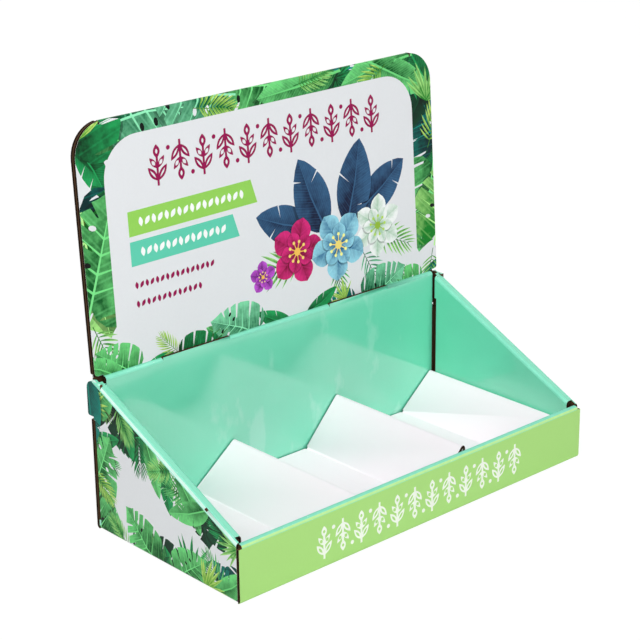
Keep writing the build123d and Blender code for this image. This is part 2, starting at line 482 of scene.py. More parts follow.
def on_leaf(spine, points):
    """Points across and along a leaf, in shares of its length, as places on the sheet."""
    x, y, turn, length, _, bend = spine
    rise = points[:, 1]
    side = points[:, 0] + bend * rise**2
    right, up = side * cos(turn) + rise * sin(turn), rise * cos(turn) - side * sin(turn)
    return np.column_stack((x + length * right, y + length * up))


def along_leaf(spine, places):
    """The other way: how far across and along its leaf each place is."""
    x, y, turn, length, half, bend = spine
    right, up = (places[:, 0] - x) / length, (places[:, 1] - y) / length
    rise = right * sin(turn) + up * cos(turn)
    side = right * cos(turn) - up * sin(turn) - bend * rise**2
    return np.column_stack((side / half, rise))


def inside(outline, places):
    """For each place, whether the closed outline goes round it."""
    x, y = places[:, 0, None], places[:, 1, None]
    (x0, y0), (x1, y1) = outline.T, np.roll(outline, -1, axis=0).T
    crosses = (y0 > y) != (y1 > y)
    height = np.where(y1 == y0, 1.0, y1 - y0)
    return np.sum(crosses & (x < x0 + (y - y0) * (x1 - x0) / height), axis=1) % 2 == 1


def seen_shapes(outline, shapes, cell=0.6):
    """The shapes that still show somewhere when all later ones lie over them."""
    low, high = outline.min(axis=0), outline.max(axis=0)
    columns, rows = (int(n) + 1 for n in (high - low) / cell)
    ways = (start + (np.arange(count) + 0.5) * cell for start, count in zip(low, (columns, rows)))
    centres = np.dstack(np.meshgrid(*ways))
    covered = ~inside(outline, centres.reshape(-1, 2)).reshape(rows, columns)
    seen = []
    for shape in reversed(shapes):
        corners = np.clip(((shape.outline - low) / cell).astype(int), 0, (columns - 1, rows - 1))
        (left, bottom), (right, top) = corners.min(axis=0), corners.max(axis=0) + 1
        window = covered[bottom:top, left:right]
        own = inside(shape.outline, centres[bottom:top, left:right].reshape(-1, 2)).reshape(window.shape)
        if not (covered[corners[:, 1], corners[:, 0]].all() and window[own].all()):
            seen.append(shape)
            if shape.shade is None:
                window |= own
    return seen[::-1]


def arrange(outline, shapes, folds):
    """All outlines cut with each other: places, triangles, and each triangle's top shape and shade."""
    points, rings, lines = [], [], []
    for ring in [outline] + [shape.outline for shape in shapes]:
        rings.append(list(range(len(points), len(points) + len(ring))))
        points += map(Vector, ring)
    for fold in folds:
        lines.append((len(points), len(points) + 1))
        points += map(Vector, fold)
    places, _, triangles, _, _, owners = delaunay_2d_cdt(points, lines, rings, 0, 1e-4, True)
    kept = []
    for triangle, over in zip(triangles, owners):
        if 0 in over:
            shade_over = {i: shapes[i - 1].shade for i in over if i}
            top = max((i for i, shade in shade_over.items() if shade is None), default=0)
            shades = [shade for i, shade in shade_over.items() if i > top and shade is not None]
            shade = prod(shades) if top and shapes[top - 1].spine else 1.0
            kept.append((*triangle, top - 1, round(max(shade, 0.3), 2)))
    kept = np.array(kept)
    places = np.array([tuple(place) for place in places])
    return places, kept[:, :3].astype(int), kept[:, 3].astype(int), kept[:, 4]


def join_alike(places, triangles, kinds):
    """Neighbouring triangles of one kind joined, and what is left cut into as few as it needs."""
    used, triangles = np.unique(triangles, return_inverse=True)
    places, triangles = places[used], triangles.reshape(-1, 3)
    flat = bpy.data.meshes.new("flat")
    flat.from_pydata(np.column_stack((places, np.zeros(len(places)))).tolist(), [], triangles.tolist())
    flat.polygons.foreach_set("material_index", kinds.astype(np.int32))
    sheet = bmesh.new()
    sheet.from_mesh(flat)
    bmesh.ops.dissolve_limit(
        sheet, angle_limit=radians(2), verts=sheet.verts, edges=sheet.edges, delimit={"MATERIAL"}
    )
    bmesh.ops.triangulate(sheet, faces=sheet.faces)
    sheet.to_mesh(flat)
    sheet.free()
    places = np.empty((len(flat.vertices), 3), np.float32)
    triangles = np.empty((len(flat.polygons), 3), np.int32)
    kinds = np.empty(len(flat.polygons), np.int32)
    flat.vertices.foreach_get("co", places.ravel())
    flat.polygons.foreach_get("vertices", triangles.ravel())
    flat.polygons.foreach_get("material_index", kinds)
    bpy.data.meshes.remove(flat)
    return places[:, :2].astype(float), triangles, kinds


def facing(wrap, places, triangles):
    """The direction in which each triangle looks once it is wrapped round the board."""
    first, second, third = (wrap(places, 0.0)[triangles[:, i]] for i in range(3))
    normals = np.cross(second - first, third - first)
    return normals / np.maximum(np.linalg.norm(normals, axis=1), 1e-9)[:, None]


def film_mesh(name, outline, shapes, folds, wrap, material, ground):
    """The arrangement as a closed film wrapped round the board, with its colours as attributes."""
    field = Shape(outline, ground)
    shapes = seen_shapes(field.outline, shapes)
    places, triangles, tops, shades = arrange(field.outline, shapes, folds)
    bends = np.round(facing(wrap, places, triangles), 1) + 0.0
    looks, kinds = np.unique(np.column_stack((tops, shades, bends)), axis=0, return_inverse=True)
    cuts = len(triangles)
    places, triangles, kinds = join_alike(places, triangles, kinds.ravel())
    tops, shades = looks[kinds, 0].astype(int), looks[kinds, 1]
    front, back = wrap(places, 0.0), wrap(places, film)
    outward = np.einsum("ij,ij->i", facing(wrap, places, triangles), (front - back)[triangles[:, 0]]) > 0
    triangles[~outward] = triangles[~outward][:, ::-1]
    count = len(places)
    forward = {(a, b) for pair in ((0, 1), (1, 2), (2, 0)) for a, b in triangles[:, pair].tolist()}
    walls = [(b, a, a + count, b + count) for a, b in forward if (b, a) not in forward]
    faces = triangles.tolist() + (triangles[:, ::-1] + count).tolist() + sorted(walls)
    mesh = bpy.data.meshes.new(name)
    mesh.from_pydata((np.vstack((front, back)) * mm).tolist(), [], faces)

    def per_corner(values, elsewhere):
        """The front's own values at its corners, and one value in the rest of the film."""
        corners = np.tile(np.array(elsewhere, np.float32), (len(mesh.loops), 1))
        corners[: 3 * len(triangles)] = np.reshape(values, (3 * len(triangles), -1))
        return corners.ravel()

    leaf = np.zeros((len(triangles), 3, 2))
    for top in np.unique(tops[tops >= 0]):
        if shapes[top].spine:
            corners = places[triangles[tops == top]].reshape(-1, 2)
            leaf[tops == top] = along_leaf(shapes[top].spine, corners).reshape(-1, 3, 2)
    mesh.uv_layers.new(name="leaf").data.foreach_set("uv", per_corner(leaf, (0, 0)))
    for title, kind, key in (
        ("dark", "FLOAT_COLOR", "color"), ("light", "FLOAT_COLOR", "color"),
        ("rib", "FLOAT_VECTOR", "vector"),
    ):
        values = np.array([getattr(shape, title) for shape in [field] + shapes])
        corners = per_corner(np.repeat(values[tops + 1], 3, axis=0), values[0])
        mesh.attributes.new(title, kind, "CORNER").data.foreach_set(key, corners)
    corners = per_corner(np.repeat(shades, 3), 1)
    mesh.attributes.new("shade", "FLOAT", "CORNER").data.foreach_set("value", corners)
    piece = finished(name, mesh, [material])
    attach(piece, "root")
    print(name, "shows", len(shapes), "shapes,", cuts, "cut triangles, in", len(mesh.polygons), "faces")


# %% [markdown]
# ## Painted ink
# Every shape carries two tones and a place along its leaf. The material runs from the
# dark tone at the stalk and the midrib to the light one at the tip and the margin, as a
# brush does, breaks it with a soft noise, and draws side veins where the shape asks for
# them. Plain fields ask for none and have two equal tones.

# %% Ink with brushed tones
def painted_ink():
    """The material of all printed films."""
    material, place = finish_of("painted_ink", 0.5, specular=0.12, coat=0.03, coat_roughness=0.2)
    rib, dark, light, shade = (
        made(place.tree, "ShaderNodeAttribute", None, output, attribute_name=name)
        for name, output in (("rib", "Vector"), ("dark", "Color"), ("light", "Color"), ("shade", "Fac"))
    )
    across, rise, _ = parts_of(made(place.tree, "ShaderNodeUVMap", uv_map="leaf"))
    count, slant, strength = parts_of(rib)
    side = abs(across)
    brush, fine = cloud(place, 230, 4.0), cloud(place, 900, 4.0)
    part = abs(reckon("FRACT", rise * count - side * slant) - 0.5)
    vein = reckon("SUBTRACT", 1.0, part / 0.12, clamp=True) * strength
    tone = rise * 0.72 + (side * 0.6 - 0.22) + (across > 0.0) * 0.3
    tone = tone + (brush - 0.5) * 1.1 + (fine - 0.5) * 0.35
    tone = reckon("ADD", tone, (part - 0.25) * strength * 0.7, clamp=True)
    paint = blend(reckon("MULTIPLY", vein, 0.6, clamp=True), blend(tone, dark, light), light, "SCREEN")
    paint = blend(1.0, paint, shade * (fine * 0.04 + 0.98), "MULTIPLY")
    return coloured(material, paint, board_relief(place, 0.2))


ink = painted_ink()

# %% [markdown]
# ## Leaves
# The border is a common tropical foliage pattern, drawn anew. Four kinds of leaf are
# enough: a paddle with a few tears, a broad leaf with deep slits and holes, a feather
# frond and a fan of blades. Each is drawn once along a straight spine in shares of its
# length, then bent, turned and scaled to its place. A soft shadow goes under each paddle
# and broad leaf.

# %% Four kinds of leaf
greens = {
    "night": ((0, 14, 7), (0, 62, 36)),
    "deep": ((0, 40, 18), (30, 156, 84)),
    "leaf": ((0, 84, 30), (110, 214, 124)),
    "fresh": ((14, 126, 36), (166, 228, 130)),
    "lime": ((84, 158, 44), (196, 230, 116)),
    "teal": ((0, 40, 42), (6, 128, 112)),
    "sea": ((0, 96, 58), (130, 220, 170)),
    "plum": ((84, 10, 96), (196, 84, 214)),
    "rose": ((120, 4, 48), (214, 40, 120)),
    "sky": ((22, 92, 140), (150, 214, 232)),
    "navy": ((10, 22, 52), (52, 92, 130)),
    "snow": ((150, 196, 160), (246, 250, 248)),
}
pale, hole_black = (229, 231, 234), (2, 10, 6)


def lifted(tone, amount):
    """A tone made lighter."""
    return tuple(min(255, value + amount) for value in tone)


def oval(x, y, wide, tall, steps=20):
    """An ellipse as an outline."""
    ring = np.linspace(0, 2 * pi, steps, endpoint=False)
    return np.column_stack((x + wide * np.cos(ring), y + tall * np.sin(ring)))


def soft_shadow(outline, spine, share):
    """A shade under a leaf: its outline, a little larger round a point of its midrib, and shifted."""
    centre = on_leaf(spine, np.array([(0, share)]))[0]
    return [Shape((outline[::2] - centre) * 1.08 + centre + (-0.5, -0.9), hole_black, shade=0.5)]


def both_margins(right, left=None):
    """A closed outline from the right margin, base to tip, and its mirror image."""
    left = right if left is None else left
    return np.vstack((right, (left * (-1, 1))[::-1]))


def narrow_strip(spine, margin, *tones):
    """A midrib or a stalk along its leaf."""
    return Shape(on_leaf(spine, both_margins(np.array(margin))), *tones)


def paddle_leaf(spine, tones, rng, tears=2):
    """A long oval leaf with close side veins and a few tears."""
    sides = []
    for _ in range(2):
        torn = sorted(rng.uniform(0.3, 0.85) for _ in range(tears))
        margin = []
        for rise in sorted([step / 12 for step in range(13)] + torn):
            wide = spine[4] * sin(pi * rise**0.85) ** 0.75 if 0 < rise < 1 else 0
            if rise in torn:
                margin += [(wide, rise - 0.012), (wide * 0.35, rise - 0.07), (wide, rise + 0.012)]
            else:
                margin.append((wide, rise))
        sides.append(np.array(margin))
    outline = on_leaf(spine, both_margins(*sides))
    return soft_shadow(outline, spine, 0.5) + [
        Shape(outline, *tones, spine, (13, 2.6, 0.8)),
        narrow_strip(spine, [(0.013, -0.05), (0.010, 0.5), (0.002, 0.97)], tones[1], lifted(tones[1], 24)),
    ]


split_margin = np.array([
    (0.0, 0.02), (0.08, -0.07), (0.20, -0.12), (0.33, -0.10), (0.43, -0.01), (0.48, 0.12), (0.49, 0.26),
    (0.47, 0.40), (0.42, 0.54), (0.34, 0.68), (0.25, 0.80), (0.14, 0.91), (0.05, 0.98), (0.0, 1.03),
])


def split_leaf(spine, tones, rng):
    """A broad heart-shaped leaf with slits between its lobes and holes beside its midrib."""
    sides = []
    for _ in range(2):
        margin = []
        for i, (wide, rise) in enumerate(split_margin):
            margin.append((wide, rise))
            if i in (4, 6, 8, 9, 10):
                reach = rng.uniform(0.22, 0.5)
                after = split_margin[i + 1]
                out, up = (wide + after[0]) / 2, (rise + after[1]) / 2
                sag = 0.15 * (1 - reach)
                margin += [
                    (out * 0.98 + wide * 0.02, up - 0.026), (out * reach * 1.2, up - sag - 0.012),
                    (out * reach, up - 0.17 * (1 - reach)),
                    (out * reach * 1.2, up - sag + 0.012), (out * 0.98 + after[0] * 0.02, up + 0.026),
                ]
        sides.append(np.array(margin))
    shapes = soft_shadow(on_leaf(spine, both_margins(split_margin)), spine, 0.45)
    shapes.append(Shape(on_leaf(spine, both_margins(*sides)), *tones, spine, (7, 2.0, 0.55)))
    for side in (-1, 1):
        for rise in (0.14, 0.30, 0.46, 0.60):
            tip = (side * (0.42 - 0.32 * max(0, rise - 0.2)), rise + 0.17)
            vein = np.array([(0, rise - 0.012), tip, (0, rise + 0.012)])
            shapes.append(Shape(on_leaf(spine, vein), lifted(tones[1], 10)))
            if rng.random() < 0.6:
                place = side * rng.uniform(0.10, 0.18), rise + rng.uniform(0.06, 0.10)
                hole = on_leaf(spine, oval(*place, 0.042, 0.024, 8))
                shapes.append(Shape(hole, hole_black if rng.random() < 0.6 else pale))
    shapes.append(narrow_strip(spine, [(0.011, -0.12), (0.011, 0.3), (0.002, 1.0)], lifted(tones[1], 16)))
    return shapes


def blade(x, y, turn, length, half, tones, bend=0.0):
    """One slim leaflet."""
    margin = np.array([(0.25, 0.0), (0.8, 0.22), (1.0, 0.48), (0.62, 0.78), (0.0, 1.0)]) * (half, 1)
    spine = (x, y, turn, length, half, bend)
    return Shape(on_leaf(spine, both_margins(margin[:-1], margin)), *tones, spine, (1, 0, 0.25))


def feather_frond(spine, tones, rng, pairs=11):
    """A frond with slim leaflets on both sides of its stalk."""
    _, _, turn, length, _, bend = spine
    shapes = [narrow_strip(spine, [(0.010, -0.1), (0.004, 1.0)], [value * 0.8 for value in tones[0]])]
    for i in range(pairs):
        rise = 0.08 + 0.86 * i / (pairs - 1)
        root = on_leaf(spine, np.array([(0.0, rise)]))[0]
        lean = turn + 2 * bend * rise
        reach = length * (0.42 * sin(pi * (0.18 + 0.74 * rise)) + 0.08) * rng.uniform(0.9, 1.1)
        for side in (-1, 1):
            angle = lean + side * radians(66 - 42 * rise) * rng.uniform(0.92, 1.08)
            shapes.append(blade(*root, angle, reach, 0.055, tones, side * -0.14))
    return shapes


def blade_fan(spine, tones, rng, blades=11):
    """Blades that spread from one point."""
    x, y, turn, length = spine[:4]
    spread = radians(rng.uniform(55, 80))
    angles = [turn + spread * (2 * i / (blades - 1) - 1) for i in range(blades)]
    rng.shuffle(angles)
    return [
        blade(x, y, angle, length * rng.uniform(0.7, 1.0), 0.058, tones, rng.uniform(-0.1, 0.1))
        for angle in angles
    ]


leaf_kinds = {
    "paddle": (paddle_leaf, 0.19), "split": (split_leaf, 0.49),
    "frond": (feather_frond, 0.4), "fan": (blade_fan, 0.3),
}


def leaf_of(kind, x, y, turn, length, tones, rng):
    """One leaf of a kind at its place, bent a little by chance."""
    draw, half = leaf_kinds[kind]
    return draw((x, y, turn, length, half, rng.uniform(-0.22, 0.22)), greens[tones], rng)


def leaf_border(path, rng, layers, lean=(0, 60)):
    """Leaves rooted along a path of (x, y, inward direction), layer over layer, leaning from inwards."""
    shapes = []
    for spacing, outward, shortest, longest, *choices in layers:
        kinds, tones = (choice.split() for choice in choices)
        leaves, walked = [], rng.uniform(0, spacing)
        for (x0, y0, inward), (x1, y1, _) in zip(path, path[1:]):
            run = float(np.hypot(x1 - x0, y1 - y0))
            while walked < run:
                share = walked / run
                x, y = x0 + (x1 - x0) * share, y0 + (y1 - y0) * share
                back = outward * rng.uniform(0.4, 1.2)
                turn = inward + rng.choice((-1, 1)) * radians(rng.uniform(*lean))
                root = (x - back * sin(inward), y - back * cos(inward))
                length = rng.uniform(shortest, longest)
                leaves.append(leaf_of(rng.choice(kinds), *root, turn, length, rng.choice(tones), rng))
                walked += spacing * rng.uniform(0.7, 1.3)
            walked -= run
        rng.shuffle(leaves)
        shapes += sum(leaves, [])
    return shapes


print("tones of green:", ", ".join(greens))

# %% [markdown]
# ## The sizes that the print must meet
# The same sizes as in the CAD source, in millimetres, and how far a point has come
# round a fold. A film that follows these lies exactly on the board.

# %% Sizes of the tray
half_width, front_face, back_face = 110.0, -51.0, 51.0
front_height, step_height, hinge_height = 27.6, 74.8, 75.4
header_lean = radians(3.46)
header_panel, header_plies = 114.10, 3.4
header_half, header_radius, foot_radius = 109.2, 15.5, 1.5
fold_end = header_half - 14.0
notch_half = 0.45
crease_half = 104.4
front_end, side_front, side_end = 108.2, -49.15, 49.2
inner_foot, tab_notch = 1.9, 54.5
tab_low, tab_top, tab_end = 56.0, 73.2, 53.4
slope = atan((step_height - front_height) / (side_end - front_face))
quarter = bend_radius * pi / 2
bleed = 3.0


def round_fold(distance, depth):
    """For a point this far past the start of an outside fold: how far it has gone on and down."""
    turned = np.clip(distance / bend_radius, 0, pi / 2)
    onward = np.where(distance < 0, distance, (bend_radius - depth) * np.sin(turned))
    down = bend_radius - (bend_radius - depth) * np.cos(turned)
    return onward, down + np.maximum(distance - quarter, 0)


def above_fold(height, depth):
    """For a point on an upright face with a fold at its foot: how far in and how high it is."""
    onward, down = round_fold(bend_radius - height, depth)
    upright = height >= bend_radius
    return np.where(upright, depth, down), np.where(upright, height, bend_radius - onward)


def arc(x, y, radius, start, end, steps):
    """Points of an arc, angles in degrees."""
    angles = np.radians(np.linspace(start, end, steps + 1))
    return [(x + radius * cos(angle), y + radius * sin(angle)) for angle in angles]


def mirrored(points):
    """A closed outline from its right half, bottom to top and back down."""
    return points + [(-x, y) for x, y in reversed(points)]


def fold_lines(start, end, steps=fold_steps, reach=120.0):
    """Lines across the sheet where it bends, evenly spaced over a fold."""
    return [((-reach, y), (reach, y)) for y in np.linspace(start, end, steps + 1)]


# %% [markdown]
# ## The header's print
# One film covers the header's front, goes over the fold at its top and down the whole
# back of the display to its foot. At both ends of the top fold the real sheet has a
# little notch, because the two plies there are rounded off by the die and not folded.

# %% Where the header's film goes
top_flat = 0.1
top_start = header_panel - bend_radius
top_end = top_start + 2 * quarter + top_flat
hinge_line = top_end + top_start
foot_line = hinge_line + hinge_height - bend_radius


def wrap_header(places, depth):
    """From the flat print to the header's front, top and back, and the back wall down to the floor."""
    x, v = places.T
    past, radius = v - top_start, bend_radius - depth
    near = past < (top_end - top_start) / 2
    first = np.clip(past / bend_radius, 0, pi / 2)
    second = np.clip((past - quarter - top_flat) / bend_radius, 0, pi / 2)
    behind = v > top_end
    flat_end = (np.abs(x) > fold_end) & (past > 0) & (v < top_end)
    up = np.select(
        [behind, flat_end & near, flat_end, past < 0, near],
        [top_start - (v - top_end), v, top_start + top_end - v, v, top_start + radius * np.sin(first)],
        top_start + radius * np.cos(second),
    )
    out = np.select(
        [behind, flat_end & near, flat_end, near],
        [depth, header_plies - depth, depth, header_plies - bend_radius + radius * np.cos(first)],
        bend_radius - radius * np.sin(second),
    )
    onward, inward = round_fold(v - foot_line, depth)
    wall = back_face - np.where(v > foot_line, inward, depth)
    y = np.where(v > hinge_line, wall, back_face + up * sin(header_lean) - out * cos(header_lean))
    z = np.where(
        v > hinge_line, bend_radius - onward, hinge_height + up * cos(header_lean) + out * sin(header_lean)
    )
    return np.column_stack((x, y, z))


def header_outline():
    """The film's outline on the flat sheet, right half first."""
    foot = arc(header_half - foot_radius, foot_radius, foot_radius, -75, 0, 4)
    corner = arc(header_half - header_radius, header_panel - header_radius, header_radius, 0, 82.8, 12)
    notch_line = hinge_line + hinge_height - tab_notch
    return mirrored([
        (crease_half, -0.75), (crease_half, -0.05), (header_half - foot_radius, 0.0), *foot, *corner,
        (fold_end + notch_half, top_start), (fold_end - notch_half, top_start),
        (fold_end - notch_half, top_end), (fold_end + notch_half, top_end),
        *((x, top_start + top_end - y) for x, y in reversed(corner)),
        (header_half, hinge_line - foot_radius),
        *((x, hinge_line - y) for x, y in reversed(foot)), (header_half - foot_radius, hinge_line),
        (front_end, hinge_line), (front_end, notch_line), (half_width, notch_line),
        (half_width, foot_line + quarter), (crease_half, foot_line + quarter),
        (crease_half, foot_line + quarter + bleed),
    ])


# %% [markdown]
# ## Line ornament
# The label and the front carry a plain sprig in one ink, repeated up and down by turns.
# A hollow leaf is two shapes: one in ink, and a smaller one in the colour of the ground.
# Rows of small leaves and open flowers go with them.

# %% Sprigs, rows and flowers
crimson, lime = (150, 14, 78), (174, 224, 130)
bar_green, bar_teal, bar_white = (150, 212, 92), (98, 208, 178), (250, 252, 250)


def ground_field(half, low, high, tone):
    """The colour that lies under everything on a sheet."""
    return Shape([(-half, low), (half, low), (half, high), (-half, high)], tone)


def lens(x, y, turn, length, wide):
    """A pointed leaf outline from its root."""
    rise = np.linspace(0, 1, 9)
    margin = np.column_stack((wide * np.sin(pi * rise) ** 0.9, rise))
    return on_leaf((x, y, turn, length, 1, 0), both_margins(margin))


def hollow(x, y, turn, length, wide, line, colour, ground):
    """A leaf drawn in outline."""
    inner, shift = length - 3.2 * line, 1.6 * line
    root = (x + shift * sin(turn), y + shift * cos(turn))
    return [
        Shape(lens(x, y, turn, length, wide), colour),
        Shape(lens(*root, turn, inner, wide - line * 1.1 / inner), ground),
    ]


def bar(x0, y0, x1, y1, line):
    """A straight stroke with cut ends."""
    run = np.array((x1 - x0, y1 - y0))
    side = np.array((-run[1], run[0])) / np.hypot(*run) * line / 2
    return np.array(((x0, y0) + side, (x1, y1) + side, (x1, y1) - side, (x0, y0) - side))


def sprig(x, y, tall, way, line, *inks):
    """A stem with two pairs of leaves and a bud, pointing up or down, in an ink on its ground."""
    turn = 0.0 if way > 0 else pi
    foot = y - way * tall / 2
    shapes = [Shape(bar(x, foot, x, y + way * tall * 0.2, line), inks[0])]
    for rise, length in ((0.12, 0.46), (0.42, 0.36)):
        for side in (-1, 1):
            root = (x, foot + way * tall * rise, turn + side * radians(38))
            shapes += hollow(*root, tall * length, 0.19, line, *inks)
    return shapes + hollow(x, y + way * tall * 0.16, turn, tall * 0.34, 0.30, line, *inks)


def garland(start, end, tall, count, line, *inks):
    """A row of sprigs, up and down by turns, with a dot between each two."""
    shapes = []
    for i in range(count):
        share = (i + 0.5) / count
        x, y = (a + (b - a) * share for a, b in zip(start, end))
        way = -1 if i % 2 else 1
        shapes += sprig(x, y, tall, way, line, *inks)
        if i < count - 1:
            next_x = x + (end[0] - start[0]) / count / 2
            shapes.append(Shape(oval(next_x, y + way * tall * 0.36, line * 0.9, line * 0.9, 10), inks[0]))
    return shapes


def leaf_row(start, end, count, length, colour):
    """A row of small leaves that lean by turns."""
    shapes = []
    for i in range(count):
        x, y = (a + (b - a) * i / (count - 1) for a, b in zip(start, end))
        turn = radians(34 if i % 2 else -6)
        root = (x - length / 2 * sin(turn), y - length / 2 * cos(turn))
        shapes.append(Shape(lens(*root, turn, length, 0.26), colour))
    return shapes


def blossom(x, y, reach, petals, tone, heart, turn=0.0):
    """An open flower: an outer and an inner ring of petals round a heart with stamens."""
    shapes = []
    rise = np.linspace(0, 1, 10)
    margin = np.column_stack((1.9 / petals * np.sin(pi * rise**1.45) ** 0.75, rise))
    for ring, size in ((0, 1.0), (1, 0.62)):
        for i in range(petals):
            spine = (x, y, turn + 2 * pi * (i + 0.5 * ring) / petals, reach * size, 1.9 / petals, 0)
            outline = on_leaf(spine, both_margins(margin))
            shapes.append(Shape((outline - (x, y)) * 1.05 + (x - 0.3, y - 0.5), hole_black, shade=0.62))
            shapes.append(Shape(outline, *greens[tone], spine, (3, 1.0, 0.5)))
    for i in range(9):
        lean = turn + 2 * pi * i / 9
        tip = (x + reach * 0.3 * sin(lean), y + reach * 0.3 * cos(lean))
        shapes.append(Shape(bar(x, y, *tip, reach * 0.03), heart))
        shapes.append(Shape(oval(*tip, reach * 0.05, reach * 0.05, 8), lifted(heart, 30)))
    shapes.append(Shape(oval(x, y, reach * 0.12, reach * 0.12, 12), heart))
    return shapes


# %% [markdown]
# ## What stands on the label
# A pale field with rounded upper corners carries the artwork: the crimson garland, two
# slanting bars with rows of small leaves, and a posy of open flowers with dark blue
# leaves. The motifs and their places are new, and the colours are those of such a
# display, bright and few.

# %% The label
label_left, label_right, label_low, label_top, label_radius = -95.0, 95.5, 3.0, 105.2, 19.0
gold = (250, 196, 90)


def posy(rng):
    """Open flowers among dark blue leaves and a few green fronds."""
    shapes = []
    for x, y, lean, length in ((24, 40, -76, 36), (58, 42, 62, 36), (34, 36, -28, 42), (48, 36, 20, 43)):
        spine = (x, y, radians(lean), length, 0.27, 0.1 if lean < 0 else -0.1)
        shapes += paddle_leaf(spine, greens["navy"], rng, 1)
    for x, y, lean, length, tone in (
        (20, 28, -104, 30, "fresh"), (66, 28, 108, 26, "fresh"),
        (40, 22, 170, 18, "leaf"), (58, 20, 146, 22, "sea"),
    ):
        shapes += feather_frond((x, y, radians(lean), length, 0.4, 0.1), greens[tone], rng, 9)
    for flower in (
        (14.5, 30.0, 16.8, 5, "rose", gold, 0.3), (68.5, 31.5, 16.2, 6, "snow", (150, 190, 60), 0.1),
        (41.5, 27.5, 18.2, 5, "sky", (246, 222, 120), 0.75), (-8.0, 22.5, 8.2, 5, "plum", gold, 0.0),
    ):
        shapes += blossom(*flower)
    return shapes


def label_shapes():
    """The label's field and everything on it."""
    right, left = label_right - label_radius, label_left + label_radius
    high = label_top - label_radius
    field = [(label_right, label_low), *arc(right, high, label_radius, 0, 90, 10)]
    field += [*arc(left, high, label_radius, 90, 180, 10), (label_left, label_low)]
    shapes = [Shape(field, pale)]
    shapes += garland((-72, 88.6), (74, 88.6), 19.0, 11, 1.25, crimson, pale)
    shapes.append(Shape([(-84, 70.6), (-12.0, 71.2), (-8.6, 59.6), (-84, 59.0)], bar_green))
    shapes.append(Shape([(-84, 56.6), (-24.0, 57.1), (-20.6, 45.7), (-84, 45.2)], bar_teal))
    for row in (
        ((-77, 65.0), (-18, 65.3), 17, 4.6, bar_white), ((-77, 51.1), (-30, 51.3), 14, 4.6, bar_white),
        ((-82, 36.2), (-38, 36.6), 16, 3.6, crimson), ((-82, 27.4), (-46, 27.7), 13, 3.6, crimson),
    ):
        shapes += leaf_row(*row)
    return shapes + posy(Random(5))


# %% [markdown]
# ## Laying out the header
# A border of leaves is grown by rule: leaves are rooted along a path, at chance
# distances and angles from a fixed seed, dark ones first and light ones last. A layer
# says how far apart its leaves stand, how far outside the path they are rooted, their
# shortest and longest length in mm, their kinds and their tones.

# %% Print the header and the back
band_layers = (
    (32, 2, 34, 50, "paddle split", "night deep teal"),
    (58, -2, 22, 30, "frond fan", "lime fresh deep"),
    (32, 1, 40, 56, "split paddle split", "leaf sea fresh leaf deep"),
    (70, -2, 18, 26, "frond fan", "fresh lime"),
)
foot_layers = (
    (34, 5, 18, 26, "paddle split", "deep teal leaf"),
    (58, 3, 13, 18, "fan frond", "lime fresh"),
    (38, 6, 20, 30, "split paddle", "leaf sea deep"),
)
back_layers = (
    (29, 4, 28, 40, "paddle split", "night deep teal"),
    (48, 3, 26, 36, "frond fan", "fresh lime deep"),
    (30, 5, 32, 46, "split paddle", "deep leaf sea"),
)
up, down, rightwards, leftwards = 0.0, pi, pi / 2, -pi / 2
front_path = [(-108, 0, rightwards), (-108, 112, down), (108, 112, leftwards), (108, 0, up)]
foot_path = [(-104, 0, up), (104, 0, up)]
back_path = [
    (-109, 122, rightwards), (-109, 300, down), (109, 304, leftwards), (109, 122, up), (-109, 122, up),
]
header_shapes = [ground_field(120, -5, 320, pale)]
header_shapes += leaf_border(back_path, Random(11), back_layers)
header_shapes += leaf_border(front_path, Random(4), band_layers, (50, 105))
header_shapes += label_shapes()
header_shapes += leaf_border(foot_path, Random(9), foot_layers, (46, 84))
header_folds = fold_lines(top_start, top_start + quarter) + fold_lines(top_end - quarter, top_end)
header_folds += fold_lines(hinge_line, hinge_line, 0) + fold_lines(foot_line, foot_line + quarter)
film_mesh("header_print", header_outline(), header_shapes, header_folds, wrap_header, ink, pale)

# %% [markdown]
# ## The sides' print
# Each side has leaves that point inwards from its edges over a pale field. The film
# goes round the fold at the table and round the rear fold, where the side turns in
# behind the back, and it covers the small tab that passes through the back.

# %% Where a side's film goes
rear_start = side_end - bend_radius
rear_end = rear_start + quarter
under = bend_radius - quarter


def wrap_side(sign):
    """From the flat print of a side to its place, on the right for 1 and on the left for -1."""
    def wrap(places, depth):
        s, w = places.T
        inward, z = above_fold(w, depth)
        rear = (s > rear_start) & (w >= inner_foot - 0.01) & (w <= tab_notch + 0.01)
        onward, down = round_fold(s - rear_start, depth)
        x = half_width - np.where(rear, down, inward)
        return np.column_stack((sign * x, np.where(rear, rear_start + onward, s), z))
    return wrap


def side_outline():
    """The film's outline: along Y and up."""
    below_fold = bend_radius / cos(slope)
    return [
        (side_end, under - bleed), (side_front, under - bleed),
        *((s, front_height + (s - front_face) * tan(slope) - below_fold) for s in (side_front, side_end)),
        (side_end, tab_top), *arc(tab_end - 4, tab_top - 4, 4, 90, 0, 5),
        *arc(tab_end - 1, tab_low + 1, 1, 0, -90, 3), (side_end, tab_low),
        (side_end, tab_notch + 0.02), (rear_end, tab_notch), (rear_end, inner_foot),
        (side_end, inner_foot - 0.02),
    ]


